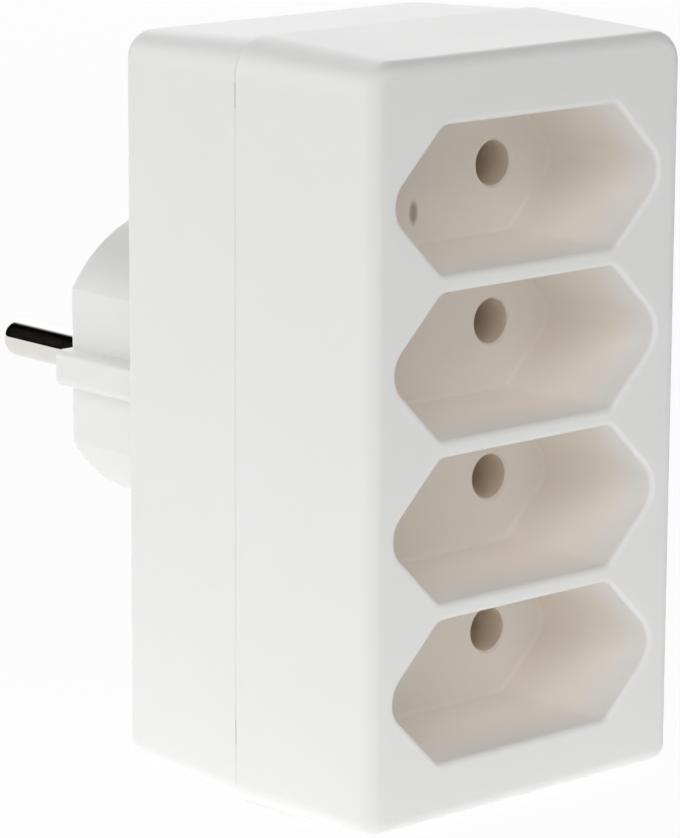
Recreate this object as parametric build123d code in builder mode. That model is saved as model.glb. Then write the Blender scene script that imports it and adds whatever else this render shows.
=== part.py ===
"""Four-way mains adapter: four flat two-pin sockets in front, one round two-pin plug behind.

Frame: the origin is the middle of the plug's engagement face, between its two pins.
The pins point along +Y, the sockets face -Y, +Z is up and +X is right as seen from the front.
All sizes are millimetres, and depths are counted from the engagement face towards the front.
"""

import os
from math import radians, sqrt, tan

from build123d import *

# Sockets: a six-sided recess with 45 degree ends, deep enough to take a flat plug's body
socket_count = 4
socket_pitch = 18.55
mouth_width = 40.5
mouth_height = 16.6
floor_width = 36.9
floor_height = 16.2
recess_depth = 16.0
tip_radius = 3.4
recess_corner_radius = 2.0
lip_radius = 0.6
floor_edge_radius = 0.5
cup_wall = 1.5
floor_thickness = 2.0

# Contact holes: a pair in each recess floor, each with a guide collar behind it
contact_spacing = 19.0
hole_diameter = 5.3
hole_chamfer = 0.3
collar_wall = 1.6
collar_length = 3.6

# Housing: two shells that meet at the seam and draft away from it
side_margin = 3.65
top_margin = 7.5
bottom_margin = 6.8
front_depth = 21.9
rear_depth = 21.2
front_draft = 2.3
rear_draft = 2.7
seam_step = 0.3
seam_chamfer = 0.3
top_corner_radius = 4.5
bottom_corner_radius = 2.8
least_corner_radius = 0.3
front_edge_radius = 1.7
back_edge_radius = 1.7
wall = 2.0

# Tongue of the rear shell that slides into the cover's rim
tongue_height = 1.6
tongue_root = 2.0
tongue_thickness = 1.2
tongue_clearance = 0.15

# Pry slots in the seam, on both long sides
slot_length = 2.9
slot_height = 0.3
slot_depth = 0.7
slot_drop_top = 6.4
slot_rise_bottom = 8.6

# Plug: a round body with two flats, a guide rib on each flat and notches for earth contacts
plug_radius = 18.1
plug_length = 20.4
plug_flats = 30.9
plug_ribs = 36.0
rib_height = 4.4
rib_corner_radius = 1.0
plug_end_chamfer = 0.4
earth_notch_width = 9.0
earth_notch_depth = 3.4
earth_pin_offset = 10.0
earth_pin_slot = 6.6
earth_pin_depth = 15.0
plug_wall = 2.2
plug_end_wall = 4.0

# Pins: turned, with a shoulder on the engagement face and a tail riveted over the rail's foot
pin_spacing = 19.0
pin_diameter = 4.8
pin_length = 19.0
pin_tip_radius = 1.6
tail_diameter = 4.0
tail_clearance = 0.05
rivet_diameter = 6.2
rivet_thickness = 1.0
sleeve_wall = 2.0
sleeve_length = 4.0

# Contact rails: one folded strip for each pole, with a twin-leaf clip behind each hole
rail_thickness = 0.8
rail_depth = 27.2
rail_width = 8.4
rail_end = 4.5
clip_height = 6.0
clip_grip = 3.7
clip_flare = 5.6
clip_neck = 3.2
clip_gap = 0.8
bend_radius = 0.6
foot_height = 6.0
foot_reach = 4.5
foot_edge = 3.2

# Supports of the rails and the wall between the poles
post_diameter = 5.4
stud_diameter = 2.4
stud_length = 1.6
stud_clearance = 0.1
barrier_thickness = 1.6
barrier_gap = 1.5

# Screws: deep wells at the corners of the back, bosses in the cover
screw_inset_x = 7.2
screw_inset_z = 7.4
screw_diameter = 2.9
screw_length = 13.0
screw_head_diameter = 5.6
screw_head_height = 2.0
screw_head_chamfer = 0.8
screw_point = 2.0
screw_clearance = 0.05
well_clearance = 0.35
shank_clearance = 0.25
well_wall = 1.2
well_floor = 5.8
boss_wall = 1.8
boss_bottom = 2.0

# Depths of the main planes, and the outlines at the seam
back_depth = plug_length
seam_depth = back_depth + rear_depth
front_plane = seam_depth + front_depth
socket_span = (socket_count - 1) * socket_pitch
front_width = mouth_width + 2 * side_margin
front_height = socket_span + mouth_height + top_margin + bottom_margin
housing_rise = (top_margin - bottom_margin) / 2
seam_width = front_width + 2 * front_depth * tan(radians(front_draft))
seam_height = front_height + 2 * front_depth * tan(radians(front_draft))

# Places that several pieces share
socket_heights = [socket_span / 2 - row * socket_pitch for row in range(socket_count)]
hole_places = [(side * contact_spacing / 2, height) for height in socket_heights for side in (-1, 1)]
screw_x = seam_width / 2 - screw_inset_x
screw_z = seam_height / 2 - screw_inset_z
screw_places = [(x, housing_rise + z) for x in (-screw_x, screw_x) for z in (-screw_z, screw_z)]
floor_depth = front_plane - recess_depth
floor_back = floor_depth - floor_thickness
collar_back = floor_back - collar_length
foot_depth = plug_end_wall + sleeve_length
head_seat = seam_depth - well_floor
post_heights = [
    (upper + lower) / 2
    for upper, lower in zip(socket_heights, socket_heights[1:])
    if abs(upper + lower) / 2 > plug_radius - post_diameter / 2
]
post_places = [(side * contact_spacing / 2, height) for height in post_heights for side in (-1, 1)]


def facing_front(depth):
    """A plane across the adapter, with its normal towards the sockets."""
    return Plane.XZ.offset(depth)


def facing_back(depth):
    """A plane across the adapter, with its normal towards the pins."""
    return Plane(origin=(0, -depth, 0), x_dir=(-1, 0, 0), z_dir=(0, 1, 0))


def housing_outline(inset):
    """The housing's outline at the seam, drawn in by an inset, with the rounder corners at the top."""
    with BuildSketch(mode=Mode.PRIVATE) as outline:
        with Locations((0, housing_rise)):
            Rectangle(seam_width - 2 * inset, seam_height - 2 * inset)
        for row, radius in ((0, bottom_corner_radius), (-1, top_corner_radius)):
            fillet(outline.vertices().group_by(Axis.Y)[row], max(radius - inset, least_corner_radius))
    return outline.sketch


def recess_outline(width, height, tip):
    """A six-sided outline with rounded corners, measured from tip to tip."""
    reach = width / 2 + tip * (sqrt(2) - 1)
    shoulder = reach - height / 2
    with BuildSketch(mode=Mode.PRIVATE) as outline:
        with BuildLine():
            Polyline(
                (reach, 0),
                (shoulder, height / 2),
                (-shoulder, height / 2),
                (-reach, 0),
                (-shoulder, -height / 2),
                (shoulder, -height / 2),
                close=True,
            )
        make_face()
        columns = outline.vertices().group_by(Axis.X)
        fillet(columns[1] + columns[2], recess_corner_radius)
        columns = outline.vertices().group_by(Axis.X)
        fillet(columns[0] + columns[-1], tip)
    return outline.sketch


# Recess: the space of one socket, from the front face to its floor
with BuildPart() as recess:
    with BuildSketch(facing_front(front_plane)):
        add(recess_outline(mouth_width, mouth_height, tip_radius))
    with BuildSketch(facing_front(floor_depth)):
        add(recess_outline(floor_width, floor_height, tip_radius))
    loft(ruled=True)
    fillet(recess.faces().sort_by(Axis.Y)[-1].edges(), floor_edge_radius)

# Cup: the same form with its wall, from the front face to the back of the floor
with BuildPart() as cup:
    with BuildSketch(facing_front(front_plane)):
        add(recess_outline(mouth_width + 2 * cup_wall, mouth_height + 2 * cup_wall, tip_radius + cup_wall))
    with BuildSketch(facing_front(floor_back)):
        add(recess_outline(floor_width + 2 * cup_wall, floor_height + 2 * cup_wall, tip_radius + cup_wall))
    loft(ruled=True)

# Cover core: the hollow behind the cups, around the collars and the screw bosses
with BuildPart() as cover_core:
    with BuildSketch(facing_front(seam_depth)):
        add(housing_outline(wall))
    extrude(amount=front_depth - wall, taper=front_draft)
    with Locations(*[(0, 0, height) for height in socket_heights]):
        add(cup.part, mode=Mode.SUBTRACT)
    with BuildSketch(facing_front(collar_back)):
        with Locations(*hole_places):
            Circle(hole_diameter / 2 + collar_wall)
    extrude(amount=floor_depth - collar_back, mode=Mode.SUBTRACT)
    with BuildSketch(facing_front(seam_depth)):
        with Locations(*screw_places):
            Circle(screw_diameter / 2 + boss_wall)
    extrude(amount=front_depth, mode=Mode.SUBTRACT)

# Front cover: the drafted shell with its four recesses, contact holes and screw bosses
with BuildPart() as front_cover:
    with BuildSketch(facing_front(seam_depth)):
        add(housing_outline(0))
    extrude(amount=front_depth, taper=front_draft)
    fillet(front_cover.faces().sort_by(Axis.Y)[0].edges(), front_edge_radius)
    chamfer(front_cover.faces().sort_by(Axis.Y)[-1].edges(), seam_chamfer)
    add(cover_core.part, mode=Mode.SUBTRACT)
    with Locations(*[(0, 0, height) for height in socket_heights]):
        add(recess.part, mode=Mode.SUBTRACT)
    with BuildSketch(facing_front(collar_back)):
        with Locations(*hole_places):
            Circle(hole_diameter / 2)
    extrude(amount=floor_depth - collar_back, mode=Mode.SUBTRACT)
    hole_rims = front_cover.edges(Select.LAST).filter_by(GeomType.CIRCLE).group_by(Axis.Y)[0]
    chamfer(hole_rims, hole_chamfer)
    with BuildSketch(facing_front(seam_depth)):
        with Locations(*screw_places):
            Circle(screw_diameter / 2 + screw_clearance)
    extrude(amount=screw_length - well_floor + boss_bottom, mode=Mode.SUBTRACT)
    front_face = front_cover.faces().sort_by(Axis.Y)[0]
    fillet(front_face.inner_wires().edges(), lip_radius)

# Rear core: the hollow of the back shell around the screw wells, rail posts and pole barrier
with BuildPart() as rear_core:
    with BuildSketch(facing_back(seam_depth)):
        add(housing_outline(seam_step + wall))
    extrude(amount=rear_depth - wall, taper=rear_draft)
    with BuildSketch(facing_back(seam_depth)):
        with Locations(*screw_places):
            Circle(screw_head_diameter / 2 + well_clearance + well_wall)
    extrude(amount=rear_depth, mode=Mode.SUBTRACT)
    with BuildSketch(facing_back(rail_depth)):
        with Locations(*post_places):
            Circle(post_diameter / 2)
    extrude(amount=rear_depth, mode=Mode.SUBTRACT)
    with BuildSketch(facing_back(rail_depth + stud_length)):
        with Locations(*post_places):
            Circle(stud_diameter / 2)
    extrude(amount=rear_depth, mode=Mode.SUBTRACT)
    with BuildSketch(facing_back(collar_back - barrier_gap)):
        with Locations((0, housing_rise)):
            Rectangle(barrier_thickness, seam_height)
    extrude(amount=rear_depth, mode=Mode.SUBTRACT)

# Plug core: the hollow of the plug body around the pin sleeves
with BuildPart() as plug_core:
    with BuildSketch(facing_front(plug_end_wall)):
        Circle(plug_radius - plug_wall)
        Rectangle(plug_flats - 2 * plug_wall, 2 * plug_radius, mode=Mode.INTERSECT)
        with Locations((0, plug_radius), (0, -plug_radius)):
            Rectangle(
                earth_notch_width + 2 * plug_wall,
                2 * (earth_notch_depth + plug_wall),
                mode=Mode.SUBTRACT,
            )
        with Locations((0, earth_pin_offset + plug_radius / 2)):
            Rectangle(
                earth_pin_slot + 2 * plug_wall,
                earth_pin_slot + 2 * plug_wall + plug_radius,
                mode=Mode.SUBTRACT,
            )
    extrude(amount=back_depth + wall - plug_end_wall)
    with BuildSketch(facing_front(plug_end_wall)):
        with Locations((-pin_spacing / 2, 0), (pin_spacing / 2, 0)):
            Circle(tail_diameter / 2 + sleeve_wall)
    extrude(amount=sleeve_length, mode=Mode.SUBTRACT)

# Rear housing: the drafted back shell, moulded in one with the plug body
with BuildPart() as rear_housing:
    with BuildSketch(facing_back(seam_depth)):
        add(housing_outline(seam_step))
    extrude(amount=rear_depth, taper=rear_draft)
    fillet(rear_housing.faces().sort_by(Axis.Y)[-1].edges(), back_edge_radius)
    chamfer(rear_housing.faces().sort_by(Axis.Y)[0].edges(), seam_chamfer)
    with BuildSketch(facing_front(0)):
        Circle(plug_radius)
        Rectangle(plug_flats, 2 * plug_radius, mode=Mode.INTERSECT)
        RectangleRounded(plug_ribs, rib_height, rib_corner_radius)
        with Locations((0, plug_radius), (0, -plug_radius)):
            Rectangle(earth_notch_width, 2 * earth_notch_depth, mode=Mode.SUBTRACT)
    extrude(amount=back_depth + wall)
    chamfer(rear_housing.faces().sort_by(Axis.Y)[-1].edges(), plug_end_chamfer)
    with BuildSketch(facing_front(0)):
        with Locations((0, earth_pin_offset)):
            Circle(earth_pin_slot / 2)
        with Locations((0, earth_pin_offset + plug_radius / 2)):
            Rectangle(earth_pin_slot, plug_radius)
    extrude(amount=earth_pin_depth, mode=Mode.SUBTRACT)
    add(rear_core.part, mode=Mode.SUBTRACT)
    add(plug_core.part, mode=Mode.SUBTRACT)
    with BuildSketch(facing_front(0)):
        with Locations((-pin_spacing / 2, 0), (pin_spacing / 2, 0)):
            Circle(tail_diameter / 2 + tail_clearance)
    extrude(amount=foot_depth, mode=Mode.SUBTRACT)
    with BuildSketch(facing_back(head_seat)):
        with Locations(*screw_places):
            Circle(screw_head_diameter / 2 + well_clearance)
    extrude(amount=head_seat, mode=Mode.SUBTRACT)
    with BuildSketch(facing_back(seam_depth)):
        with Locations(*screw_places):
            Circle(screw_diameter / 2 + shank_clearance)
    extrude(amount=well_floor, mode=Mode.SUBTRACT)
    with BuildSketch(facing_front(seam_depth - tongue_root)):
        add(housing_outline(wall + tongue_clearance))
        add(housing_outline(wall + tongue_clearance + tongue_thickness), mode=Mode.SUBTRACT)
    extrude(amount=tongue_root + tongue_height)
    with BuildSketch(facing_back(seam_depth)):
        top_slot = housing_rise + seam_height / 2 - slot_drop_top
        bottom_slot = housing_rise - seam_height / 2 + slot_rise_bottom
        side_face = seam_width / 2 - seam_step
        with Locations(*[(x, z) for x in (-side_face, side_face) for z in (top_slot, bottom_slot)]):
            Rectangle(2 * slot_depth, slot_length)
    extrude(amount=slot_height, mode=Mode.SUBTRACT)


def plug_pin(side):
    """One turned pin: round tip, plain shank, shoulder and riveted tail."""
    axis_x = side * pin_spacing / 2
    rivet_depth = foot_depth + rail_thickness
    with BuildPart() as pin:
        with BuildSketch(Plane(origin=(axis_x, 0, 0))) as profile:
            with BuildLine():
                Polyline(
                    (0, pin_length),
                    (pin_diameter / 2, pin_length),
                    (pin_diameter / 2, 0),
                    (tail_diameter / 2, 0),
                    (tail_diameter / 2, -rivet_depth),
                    (rivet_diameter / 2, -rivet_depth),
                    (tail_diameter / 2, -rivet_depth - rivet_thickness),
                    (0, -rivet_depth - rivet_thickness),
                    close=True,
                )
            make_face()
            fillet(profile.vertices().group_by(Axis.Y)[-1].sort_by(Axis.X)[-1], pin_tip_radius)
        revolve(axis=Axis((axis_x, 0, 0), (0, 1, 0)))
    return pin


plug_pin_left = plug_pin(-1)
plug_pin_right = plug_pin(1)

# Contact rail of the right pole: a strip up the housing, its clips and the foot under the pin's tail
clip_tip = collar_back - clip_gap
clip_base = rail_depth + rail_thickness
foot_end = (pin_spacing - contact_spacing) / 2 + foot_edge
with BuildPart() as contact_rail_right:
    with BuildSketch(facing_front(rail_depth)):
        with Locations((contact_spacing / 2, 0)):
            Rectangle(rail_width, socket_span + 2 * rail_end)
        with Locations(*[place for place in post_places if place[0] > 0]):
            Circle(stud_diameter / 2 + stud_clearance, mode=Mode.SUBTRACT)
    extrude(amount=rail_thickness)
    for height in socket_heights:
        with BuildSketch(Plane(origin=(contact_spacing / 2, 0, height - clip_height / 2))):
            with BuildLine():
                FilletPolyline(
                    (clip_flare / 2, -clip_tip),
                    (clip_grip / 2, -clip_tip + clip_neck),
                    (rail_width / 2 - rail_thickness, -clip_base),
                    (-rail_width / 2 + rail_thickness, -clip_base),
                    (-clip_grip / 2, -clip_tip + clip_neck),
                    (-clip_flare / 2, -clip_tip),
                    radius=bend_radius,
                )
                offset(amount=rail_thickness, side=Side.LEFT)
            make_face()
        extrude(amount=clip_height)
    with BuildSketch(Plane(origin=(contact_spacing / 2, 0, -foot_height / 2))):
        with BuildLine():
            FilletPolyline(
                (0, -rail_depth),
                (-foot_reach, -rail_depth),
                (-foot_reach, -foot_depth - rail_thickness),
                (foot_end, -foot_depth - rail_thickness),
                radius=bend_radius,
            )
            offset(amount=rail_thickness, side=Side.LEFT)
        make_face()
    extrude(amount=foot_height)
    with BuildSketch(facing_front(foot_depth)):
        with Locations((pin_spacing / 2, 0)):
            Circle(tail_diameter / 2 + tail_clearance)
    extrude(amount=rail_thickness, mode=Mode.SUBTRACT)

with BuildPart() as contact_rail_left:
    add(contact_rail_right.part)
    mirror(about=Plane.YZ, mode=Mode.REPLACE)

# Screw: pan head, plain shank and point, about the Y axis
with BuildPart() as screw:
    with BuildSketch(Plane.XY) as screw_profile:
        with BuildLine():
            Polyline(
                (0, -head_seat + screw_head_height),
                (screw_head_diameter / 2, -head_seat + screw_head_height),
                (screw_head_diameter / 2, -head_seat),
                (screw_diameter / 2, -head_seat),
                (screw_diameter / 2, -head_seat - screw_length + screw_point),
                (0, -head_seat - screw_length),
                close=True,
            )
        make_face()
        chamfer(screw_profile.vertices().group_by(Axis.X)[-1].sort_by(Axis.Y)[-1], screw_head_chamfer)
    revolve(axis=Axis.Y)

with BuildPart() as housing_screws:
    with Locations(*[(x, 0, z) for x, z in screw_places]):
        add(screw.part)

# One file for each piece
os.makedirs("parts", exist_ok=True)
pieces = {
    "front_cover": front_cover,
    "rear_housing": rear_housing,
    "plug_pin_left": plug_pin_left,
    "plug_pin_right": plug_pin_right,
    "contact_rail_left": contact_rail_left,
    "contact_rail_right": contact_rail_right,
    "housing_screws": housing_screws,
}
for name, piece in pieces.items():
    piece.part.label = name
    export_step(piece.part, f"parts/{name}.step")
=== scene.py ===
"""A white four-way mains adapter: the finishes of its solids, its screws, and the photograph's studio.

All is in metres in the part's own frame: the plug's pins point along +Y, the sockets face -Y, +Z is up.
"""

from math import cos, pi, radians, sin

import bmesh
import bpy
from mathutils import Matrix, Vector


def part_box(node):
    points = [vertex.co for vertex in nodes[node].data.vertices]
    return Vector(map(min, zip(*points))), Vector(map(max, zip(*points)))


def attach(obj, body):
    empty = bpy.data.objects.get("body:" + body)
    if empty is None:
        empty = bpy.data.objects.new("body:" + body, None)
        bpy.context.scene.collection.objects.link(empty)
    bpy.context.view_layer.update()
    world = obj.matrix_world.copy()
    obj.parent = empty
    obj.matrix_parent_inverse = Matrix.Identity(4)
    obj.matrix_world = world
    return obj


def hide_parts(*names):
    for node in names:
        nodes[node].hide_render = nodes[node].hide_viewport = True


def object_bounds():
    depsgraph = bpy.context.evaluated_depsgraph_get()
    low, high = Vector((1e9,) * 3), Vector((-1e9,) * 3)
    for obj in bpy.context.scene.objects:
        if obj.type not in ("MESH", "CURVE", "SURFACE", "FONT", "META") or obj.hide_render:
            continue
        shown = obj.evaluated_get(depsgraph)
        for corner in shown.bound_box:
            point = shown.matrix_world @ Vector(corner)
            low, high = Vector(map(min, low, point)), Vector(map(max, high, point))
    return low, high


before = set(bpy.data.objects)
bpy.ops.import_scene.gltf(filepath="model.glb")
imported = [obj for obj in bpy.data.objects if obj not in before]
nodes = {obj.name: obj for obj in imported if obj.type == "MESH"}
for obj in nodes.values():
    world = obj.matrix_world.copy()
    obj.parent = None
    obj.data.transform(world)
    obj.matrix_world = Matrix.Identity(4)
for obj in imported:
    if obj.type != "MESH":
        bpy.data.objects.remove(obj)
cad_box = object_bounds()
MM = 0.001

# Camera: the photograph's height and focal length in pixels, and where the camera stood
photo_height = 838
focal_pixels = 4119.1
sensor_mm = 36.0
camera_place = Vector((-0.31687, -0.38605, 0.10128))
camera_turn = 41.803
camera_dip = 12.449
camera_roll = 0.241

# Recesses: the half width and half height of their column, their lip and their depth.
# The contact holes go on behind them, as far as the ends of their collars
front_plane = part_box("front_cover")[0].y
recess_reach = 21.4 * MM
recess_column = 36.8 * MM
recess_lip = 0.8 * MM
recess_depth = 16.0 * MM
collar_depth = 22.0 * MM
hole_fade = 2.0 * MM

# Gate mark: an oval pit on the floor of the top recess, where the plastic came into the mould.
# Its middle and rim are shares of its size, and its dent is counted in heights of the grain
gate_mark = Vector((-3.1 * MM, front_plane + recess_depth, 23.4 * MM))
gate_mark_size = Vector((0.6, 0.8, 1.3)) * MM
gate_mark_middle = 0.5
gate_mark_rim = 1.4
gate_mark_dent = 3.0

# Screws: pan heads with a cross recess, in the wells of the back. Angles are degrees
screw_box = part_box("housing_screws")
head_radius = 2.8 * MM
head_height = 2.0 * MM
head_rim = 0.7 * MM
cross_length = 3.3 * MM
cross_width = 0.8 * MM
cross_depth = 1.2 * MM
cross_taper = 0.6
thread_radius = 1.45 * MM
core_radius = 1.05 * MM
thread_pitch = 1.1 * MM
ridge_share = 0.3
point_length = 2.0 * MM
round_steps = 24
rings_per_turn = 6
dome_step = 15
sharp_edge = 40


def srgb(code):
    """A hex colour such as "e8e6e3" as linear red, green, blue and alpha."""
    channels = [int(code[place:place + 2], 16) / 255 for place in (0, 2, 4)]
    return [*(c / 12.92 if c <= 0.04045 else ((c + 0.055) / 1.055) ** 2.4 for c in channels), 1.0]


def add_node(tree, kind, inputs=None, **settings):
    """One node with its settings. An input takes a value, or a link from another node's socket."""
    node = tree.nodes.new(kind)
    for name, value in settings.items():
        setattr(node, name, value)
    for key, value in (inputs or {}).items():
        if isinstance(value, bpy.types.NodeSocket):
            tree.links.new(value, node.inputs[key])
        else:
            node.inputs[key].default_value = value
    return node


def new_material(name):
    """An empty material: the material, its node tree and its output node."""
    material = bpy.data.materials.new(name)
    material.use_nodes = True
    material.node_tree.nodes.clear()
    output = add_node(material.node_tree, "ShaderNodeOutputMaterial")
    return material, material.node_tree, output


def moulded_abs():
    """White ABS, injection moulded in a spark-eroded mould.

    The eye sees a satin white with a very fine grain and a broad, soft shine. In the recesses the light
    goes from wall to wall and through their thin walls; that warmth is painted in there as a cream colour,
    a painted bounce light.
    """
    material, tree, output = new_material("moulded_abs")
    place = add_node(tree, "ShaderNodeNewGeometry").outputs["Position"]
    axes = add_node(tree, "ShaderNodeSeparateXYZ", {0: place}).outputs
    across = add_node(tree, "ShaderNodeMath", {0: axes["X"]}, operation="ABSOLUTE").outputs[0]
    upward = add_node(tree, "ShaderNodeMath", {0: axes["Z"]}, operation="ABSOLUTE").outputs[0]

    # How far a point is inside the recesses: 0 on the outer faces, 1 on the floors
    inside = 1.0
    for distance, edge, full in (
        (across, recess_reach, recess_reach - recess_lip),
        (upward, recess_column, recess_column - recess_lip),
        (axes["Y"], front_plane, front_plane + recess_depth / 2),
        (axes["Y"], front_plane + collar_depth, front_plane + collar_depth - recess_lip),
    ):
        step = add_node(tree, "ShaderNodeMapRange", {
            "Value": distance,
            "From Min": edge,
            "From Max": full,
        }, interpolation_type="SMOOTHSTEP")
        both = add_node(tree, "ShaderNodeMath", {0: inside, 1: step.outputs[0]}, operation="MULTIPLY")
        inside = both.outputs[0]

    # Flow of the plastic in the mould: cloudy patches about 14 mm wide, hardly lighter or darker
    flow = add_node(tree, "ShaderNodeTexNoise", {"Vector": place, "Scale": 1 / (14 * MM), "Detail": 3.0})
    outer = add_node(tree, "ShaderNodeMix", {
        0: flow.outputs["Fac"],
        6: srgb("f0f0ef"),
        7: srgb("f3f3f2"),
    }, data_type="RGBA")
    # Painted bounce light: the recesses are painted a warmer cream, standing in for light that goes from
    # wall to wall and through their thin walls
    colour_with_painted_bounce = add_node(tree, "ShaderNodeMix", {
        0: inside,
        6: outer.outputs[2],
        7: srgb("f6efe7"),
    }, data_type="RGBA")

    # Painted glow: deep in the contact holes a warmer cream still is painted in, standing in for light that
    # comes through their thin walls
    deep = add_node(tree, "ShaderNodeMapRange", {
        "Value": axes["Y"],
        "From Min": front_plane + recess_depth,
        "From Max": front_plane + recess_depth + hole_fade,
    })
    painted_hole_glow = add_node(tree, "ShaderNodeMath", {0: deep.outputs[0], 1: inside}, operation="MULTIPLY")
    colour_with_painted_bounce = add_node(tree, "ShaderNodeMix", {
        0: painted_hole_glow.outputs[0],
        6: colour_with_painted_bounce.outputs[2],
        7: srgb("fbebd8"),
    }, data_type="RGBA")

    # The gate mark: an oval that fades out at its rim
    offset = add_node(tree, "ShaderNodeVectorMath", {0: place, 1: gate_mark}, operation="SUBTRACT")
    oval = add_node(tree, "ShaderNodeVectorMath", {
        0: offset.outputs[0],
        1: gate_mark_size,
    }, operation="DIVIDE")
    reach = add_node(tree, "ShaderNodeVectorMath", {0: oval.outputs[0]}, operation="LENGTH")
    mark = add_node(tree, "ShaderNodeMapRange", {
        "Value": reach.outputs["Value"],
        "From Min": gate_mark_rim,
        "From Max": gate_mark_middle,
    }, interpolation_type="SMOOTHSTEP")
    colour = add_node(tree, "ShaderNodeMix", {
        0: mark.outputs[0],
        6: colour_with_painted_bounce.outputs[2],
        7: srgb("b5aa9c"),
    }, data_type="RGBA")

    # Spark-eroded grain: about 0.05 mm in the real mould, drawn at 0.35 mm so that it shows
    grain = add_node(tree, "ShaderNodeTexNoise", {"Vector": place, "Scale": 1 / (0.35 * MM), "Detail": 2.0})
    dent = add_node(tree, "ShaderNodeMath", {
        0: mark.outputs[0],
        1: -gate_mark_dent,
        2: grain.outputs["Fac"],
    }, operation="MULTIPLY_ADD")
    bump = add_node(tree, "ShaderNodeBump", {
        "Height": dent.outputs[0],
        "Strength": 0.08,
        "Distance": 0.05 * MM,
    })
    gloss = add_node(tree, "ShaderNodeMapRange", {
        "Value": flow.outputs["Fac"],
        "To Min": 0.38,
        "To Max": 0.48,
    })
    shader = add_node(tree, "ShaderNodeBsdfPrincipled", {
        "Base Color": colour.outputs[2],
        "Roughness": gloss.outputs[0],
        "IOR": 1.54,
        "Subsurface Weight": 0.4,
        "Subsurface Radius": (1.0, 0.95, 0.9),
        "Subsurface Scale": 1.0 * MM,
        "Normal": bump.outputs["Normal"],
    })
    tree.links.new(shader.outputs["BSDF"], output.inputs["Surface"])
    return material


def turned_nickel():
    """Brass pins, turned on a lathe and nickel plated: a mirror of the room, cut into hair-fine rings."""
    material, tree, output = new_material("turned_nickel")
    place = add_node(tree, "ShaderNodeNewGeometry").outputs["Position"]
    along = add_node(tree, "ShaderNodeSeparateXYZ", {0: place}).outputs["Y"]

    # Turning lines: the lathe's feed, about 0.12 mm for each turn
    rings = add_node(tree, "ShaderNodeTexNoise", {
        "W": along,
        "Scale": 1 / (0.12 * MM),
        "Detail": 2.0,
    }, noise_dimensions="1D")
    bump = add_node(tree, "ShaderNodeBump", {
        "Height": rings.outputs["Fac"],
        "Strength": 0.03,
        "Distance": 0.02 * MM,
    })

    # Handling: patches about 2.5 mm wide, a little duller or brighter
    handling = add_node(tree, "ShaderNodeTexNoise", {
        "Vector": place,
        "Scale": 1 / (2.5 * MM),
        "Detail": 4.0,
    })
    gloss = add_node(tree, "ShaderNodeMapRange", {
        "Value": handling.outputs["Fac"],
        "To Min": 0.02,
        "To Max": 0.06,
    })
    plating = add_node(tree, "ShaderNodeMix", {
        0: handling.outputs["Fac"],
        6: srgb("dedbd6"),
        7: srgb("e6e4e0"),
    }, data_type="RGBA")
    shader = add_node(tree, "ShaderNodeBsdfPrincipled", {
        "Base Color": plating.outputs[2],
        "Metallic": 1.0,
        "Roughness": gloss.outputs[0],
        "Normal": bump.outputs["Normal"],
    })
    tree.links.new(shader.outputs["BSDF"], output.inputs["Surface"])
    return material


def rolled_brass():
    """Brass strip, rolled, stamped and left bare: fine lines along the strip and clouds of tarnish."""
    material, tree, output = new_material("rolled_brass")
    place = add_node(tree, "ShaderNodeNewGeometry").outputs["Position"]

    # Rolling lines: about 0.1 mm wide and 6 mm long, up the strip
    lines_place = add_node(tree, "ShaderNodeVectorMath", {
        0: place,
        1: (1 / (0.1 * MM), 1 / (0.1 * MM), 1 / (6 * MM)),
    }, operation="MULTIPLY")
    lines = add_node(tree, "ShaderNodeTexNoise", {
        "Vector": lines_place.outputs[0],
        "Scale": 1.0,
        "Detail": 2.0,
    })

    # Tarnish: clouds about 4 mm wide, browner and duller than the clean brass
    clouds = add_node(tree, "ShaderNodeTexNoise", {"Vector": place, "Scale": 1 / (4 * MM), "Detail": 5.0})
    tarnish = add_node(tree, "ShaderNodeMapRange", {
        "Value": clouds.outputs["Fac"],
        "From Min": 0.45,
        "From Max": 0.75,
    })
    colour = add_node(tree, "ShaderNodeMix", {
        0: tarnish.outputs[0],
        6: srgb("d2ad63"),
        7: srgb("a67e40"),
    }, data_type="RGBA")
    gloss = add_node(tree, "ShaderNodeMapRange", {
        "Value": clouds.outputs["Fac"],
        "To Min": 0.22,
        "To Max": 0.42,
    })
    bump = add_node(tree, "ShaderNodeBump", {
        "Height": lines.outputs["Fac"],
        "Strength": 0.15,
        "Distance": 0.02 * MM,
    })
    shader = add_node(tree, "ShaderNodeBsdfPrincipled", {
        "Base Color": colour.outputs[2],
        "Metallic": 1.0,
        "Roughness": gloss.outputs[0],
        "Normal": bump.outputs["Normal"],
    })
    tree.links.new(shader.outputs["BSDF"], output.inputs["Surface"])
    return material


def zinc_plated_steel():
    """Steel screws, zinc plated in a barrel: bluish grey, with a fine spangle and dull patches."""
    material, tree, output = new_material("zinc_plated_steel")
    place = add_node(tree, "ShaderNodeNewGeometry").outputs["Position"]

    # Spangle: crystals of the zinc about 0.4 mm across. The dull patches are about 1.5 mm wide
    spangle = add_node(tree, "ShaderNodeTexVoronoi", {"Vector": place, "Scale": 1 / (0.4 * MM)})
    colour = add_node(tree, "ShaderNodeMix", {
        0: spangle.outputs["Distance"],
        6: srgb("b4b8be"),
        7: srgb("c9ccd0"),
    }, data_type="RGBA")
    dull = add_node(tree, "ShaderNodeTexNoise", {"Vector": place, "Scale": 1 / (1.5 * MM), "Detail": 3.0})
    gloss = add_node(tree, "ShaderNodeMapRange", {
        "Value": dull.outputs["Fac"],
        "To Min": 0.3,
        "To Max": 0.5,
    })
    shader = add_node(tree, "ShaderNodeBsdfPrincipled", {
        "Base Color": colour.outputs[2],
        "Metallic": 1.0,
        "Roughness": gloss.outputs[0],
    })
    tree.links.new(shader.outputs["BSDF"], output.inputs["Surface"])
    return material


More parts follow.
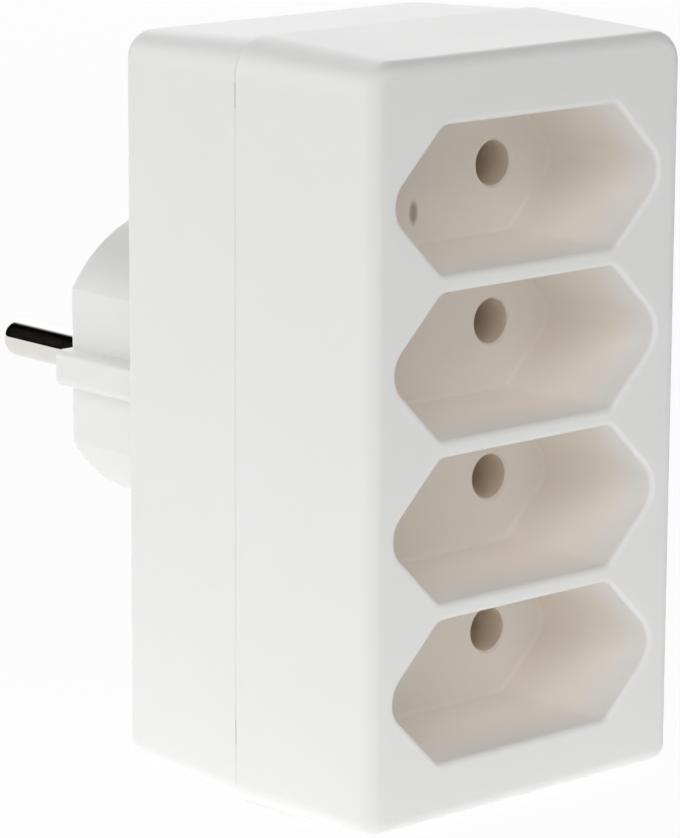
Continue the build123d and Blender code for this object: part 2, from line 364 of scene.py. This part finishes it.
def screw_rings():
    """A screw's rings from its point to the top of its head: the radii round each ring, and its height."""
    length = screw_box[1].y - screw_box[0].y - head_height
    rings = [([0.0], -length)]
    count = int(length / thread_pitch * rings_per_turn)
    for ring in range(1, count):
        height = -length * (1 - ring / count)
        taper = min(1.0, (height + length) / point_length)
        radii = []
        for step in range(round_steps):
            turn = (height / thread_pitch + step / round_steps) % 1.0
            ridge = max(0.0, 1.0 - abs(turn - 0.5) / ridge_share)
            radii.append(taper * (core_radius + (thread_radius - core_radius) * ridge))
        rings.append((radii, height))
    rings.append(([core_radius] * round_steps, 0.0))
    rings.append(([head_radius] * round_steps, 0.0))
    for angle in range(0, 90, dome_step):
        radius = head_radius * cos(radians(angle))
        rings.append(([radius] * round_steps, head_rim + (head_height - head_rim) * sin(radians(angle))))
    rings.append(([0.0], head_height))
    return rings


def skin_piece(name, loops, ends=False):
    """An object whose closed skin runs from loop to loop of points. A loop of one point is a tip."""
    mesh = bmesh.new()
    corners = [[mesh.verts.new(point) for point in loop] for loop in loops]
    for lower, upper in zip(corners, corners[1:]):
        steps = max(len(lower), len(upper))
        for step in range(steps):
            after = (step + 1) % steps
            face = [lower[step % len(lower)], upper[step % len(upper)]]
            face += [upper[after % len(upper)], lower[after % len(lower)]]
            mesh.faces.new(list(dict.fromkeys(face)))
    if ends:
        mesh.faces.new(corners[0])
        mesh.faces.new(corners[-1][::-1])
    data = bpy.data.meshes.new(name)
    mesh.to_mesh(data)
    mesh.free()
    piece = bpy.data.objects.new(name, data)
    bpy.context.scene.collection.objects.link(piece)
    return piece


def screw_mesh():
    """One screw with its seat at the origin and its head towards +Y, the cross recess cut into the head."""
    loops = []
    for radii, height in screw_rings():
        angles = [2 * pi * step / round_steps for step in range(len(radii))]
        loops.append([(r * cos(a), height, r * sin(a)) for r, a in zip(radii, angles)])
    screw = skin_piece("screw", loops)

    # The driver's tip: a cross that narrows towards the bottom of the recess
    cross = []
    for share, height in ((cross_taper, head_height - cross_depth), (1.0, head_height + cross_depth / 2)):
        half, arm = share * cross_length / 2, share * cross_width / 2
        quarter = [(half, -arm), (half, arm), (arm, arm)]
        outline = []
        for turn in range(4):
            outline += [(x * cos(turn * pi / 2) - z * sin(turn * pi / 2), height,
                         x * sin(turn * pi / 2) + z * cos(turn * pi / 2)) for x, z in quarter]
        cross.append(outline)
    tip = skin_piece("driver_tip", cross, ends=True)
    cut = screw.modifiers.new("cross", "BOOLEAN")
    cut.operation = "DIFFERENCE"
    cut.object = tip
    cut.solver = "EXACT"
    finished = bpy.data.meshes.new_from_object(screw.evaluated_get(bpy.context.evaluated_depsgraph_get()))
    for piece in (screw, tip):
        bpy.data.objects.remove(piece)
    return finished


def four_screws(material):
    """The screws of the housing, one at each corner of the back, as one piece."""
    one = screw_mesh()
    seat = screw_box[1].y - head_height
    mesh = bmesh.new()
    for x in (screw_box[0].x + head_radius, screw_box[1].x - head_radius):
        for z in (screw_box[0].z + head_radius, screw_box[1].z - head_radius):
            before = len(mesh.verts)
            mesh.from_mesh(one)
            mesh.verts.ensure_lookup_table()
            bmesh.ops.translate(mesh, vec=(x, seat, z), verts=mesh.verts[before:])
    data = bpy.data.meshes.new("threaded_screws")
    mesh.to_mesh(data)
    mesh.free()
    data.shade_smooth()
    data.set_sharp_from_angle(angle=radians(sharp_edge))
    data.materials.append(material)
    screws = bpy.data.objects.new("threaded_screws", data)
    bpy.context.scene.collection.objects.link(screws)
    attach(screws, "root")
    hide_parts("housing_screws")


plastic = moulded_abs()
nickel = turned_nickel()
brass = rolled_brass()
for node, material in (
    ("front_cover", plastic),
    ("rear_housing", plastic),
    ("plug_pin_left", nickel),
    ("plug_pin_right", nickel),
    ("contact_rail_left", brass),
    ("contact_rail_right", brass),
):
    nodes[node].data.materials.clear()
    nodes[node].data.materials.append(material)
four_screws(zinc_plated_steel())


def stage_sheet(name, corners, material):
    """A flat sheet of the studio, which isn't part of the object."""
    data = bpy.data.meshes.new(name)
    data.from_pydata(corners, [], [(0, 1, 2, 3)])
    data.materials.append(material)
    sheet = bpy.data.objects.new(name, data)
    bpy.context.scene.collection.objects.link(sheet)
    return sheet


def seen_rays(tree):
    """1 for rays that come from the camera or from a mirror or glass, 0 for rays that gather light."""
    rays = add_node(tree, "ShaderNodeLightPath").outputs
    seen = rays["Is Camera Ray"]
    for kind in ("Is Glossy Ray", "Is Transmission Ray"):
        either = add_node(tree, "ShaderNodeMath", {0: seen, 1: rays[kind]}, operation="MAXIMUM")
        seen = either.outputs[0]
    return seen


# Floor: white paper, which the camera and the metal see nearly at full white
white_share = 0.95
material, tree, output = new_material("white_paper")
share = add_node(tree, "ShaderNodeMath", {0: seen_rays(tree), 1: white_share}, operation="MULTIPLY")
paper = add_node(tree, "ShaderNodeBsdfDiffuse", {"Color": srgb("f4f4f4")})
white = add_node(tree, "ShaderNodeEmission", {"Color": srgb("ffffff"), "Strength": 1.0})
mix = add_node(tree, "ShaderNodeMixShader", {0: share.outputs[0], 1: paper.outputs[0], 2: white.outputs[0]})
tree.links.new(mix.outputs[0], output.inputs["Surface"])
floor_half = 4.0
floor_height = cad_box[0].z
stage_sheet("floor", [
    (-floor_half, -floor_half, floor_height),
    (floor_half, -floor_half, floor_height),
    (floor_half, floor_half, floor_height),
    (-floor_half, floor_half, floor_height),
], material)

# Black card behind the plug, which only the pins' reflections see. It fades out to the right
card_distance = 0.9
card_left, card_fade, card_right = -1.1, -0.05, 0.4
card_foot, card_top = 0.0, 1.2
material, tree, output = new_material("black_card")
place = add_node(tree, "ShaderNodeNewGeometry").outputs["Position"]
across = add_node(tree, "ShaderNodeSeparateXYZ", {0: place}).outputs["X"]
fade = add_node(tree, "ShaderNodeMapRange", {
    "Value": across,
    "From Min": card_fade,
    "From Max": card_right,
}, interpolation_type="SMOOTHSTEP")
black = add_node(tree, "ShaderNodeEmission", {"Color": srgb("080404"), "Strength": 1.0})
clear = add_node(tree, "ShaderNodeBsdfTransparent")
mix = add_node(tree, "ShaderNodeMixShader", {0: fade.outputs[0], 1: black.outputs[0], 2: clear.outputs[0]})
tree.links.new(mix.outputs[0], output.inputs["Surface"])
card = stage_sheet("black_card", [
    (card_left, card_distance, card_foot),
    (card_right, card_distance, card_foot),
    (card_right, card_distance, card_top),
    (card_left, card_distance, card_top),
], material)
card.visible_camera = False
card.visible_diffuse = False
card.visible_shadow = False

# World: a dim, even room for the light, and white where it is seen
room_light = 0.03
world = bpy.data.worlds.new("studio")
bpy.context.scene.world = world
world.use_nodes = True
tree = world.node_tree
tree.nodes.clear()
room = add_node(tree, "ShaderNodeBackground", {"Color": srgb("ffffff"), "Strength": room_light})
white = add_node(tree, "ShaderNodeBackground", {"Color": srgb("fdfdfd"), "Strength": 1.0})
mix = add_node(tree, "ShaderNodeMixShader", {0: seen_rays(tree), 1: room.outputs[0], 2: white.outputs[0]})
add_node(tree, "ShaderNodeOutputWorld", {"Surface": mix.outputs[0]})


def softbox(name, place, target, size, watts):
    """A square area lamp that faces a point."""
    lamp = bpy.data.lights.new(name, "AREA")
    lamp.shape = "SQUARE"
    lamp.size = size
    lamp.energy = watts
    lamp_object = bpy.data.objects.new(name, lamp)
    lamp_object.location = place
    lamp_object.rotation_euler = (Vector(target) - Vector(place)).to_track_quat("-Z", "Y").to_euler()
    bpy.context.scene.collection.objects.link(lamp_object)
    return lamp_object


# Softboxes round the adapter, all turned to its middle: where each stands, its size and its watts
middle = (cad_box[0] + cad_box[1]) / 2
for name, place, size, watts in (
    ("back_left_softbox", (-0.9, 0.9, 0.5), 0.9, 6.8),
    ("left_front_softbox", (-0.9, -0.9, 0.45), 1.0, 3.3),
    ("high_left_softbox", (-0.8, -0.8, 0.9), 0.8, 3.5),
    ("high_front_softbox", (0.0, -1.0, 0.8), 0.8, 2.7),
    ("back_softbox", (0.0, 1.2, 0.6), 0.9, 3.0),
    ("back_right_softbox", (0.8, 0.9, 0.6), 0.9, 3.45),
):
    softbox(name, place, middle, size, watts)

# Light that the white table throws straight up, round the adapter's foot and to its left
overhead = 1.0
for name, x, y, lift, size, watts in (
    ("table_light", 0.0, -0.042, 0.2 * MM, 0.3, 0.14),
    ("table_light_left", -0.25, -0.02, 1.3 * MM, 0.34, 0.04),
):
    glow = softbox(name, (x, y, floor_height + lift), (x, y, overhead), size, watts)
    glow.visible_camera = False
    glow.visible_glossy = False

# Camera: it looks along its turn and dip, and is rolled a little about that line
turn_angle = radians(camera_turn)
dip_angle = radians(camera_dip)
forward = Vector((sin(turn_angle) * cos(dip_angle), cos(turn_angle) * cos(dip_angle), -sin(dip_angle)))
camera_data = bpy.data.cameras.new("camera")
camera_data.sensor_width = sensor_mm
camera_data.lens = sensor_mm * focal_pixels / photo_height
camera_data.clip_start = 0.01
camera_data.clip_end = 100.0
camera = bpy.data.objects.new("camera", camera_data)
bpy.context.scene.collection.objects.link(camera)
upright = forward.to_track_quat("-Z", "Y").to_matrix()
rolled = upright @ Matrix.Rotation(radians(camera_roll), 3, "Z")
camera.matrix_world = Matrix.Translation(camera_place) @ rolled.to_4x4()
bpy.context.scene.camera = camera

bpy.context.scene.view_settings.view_transform = "Standard"
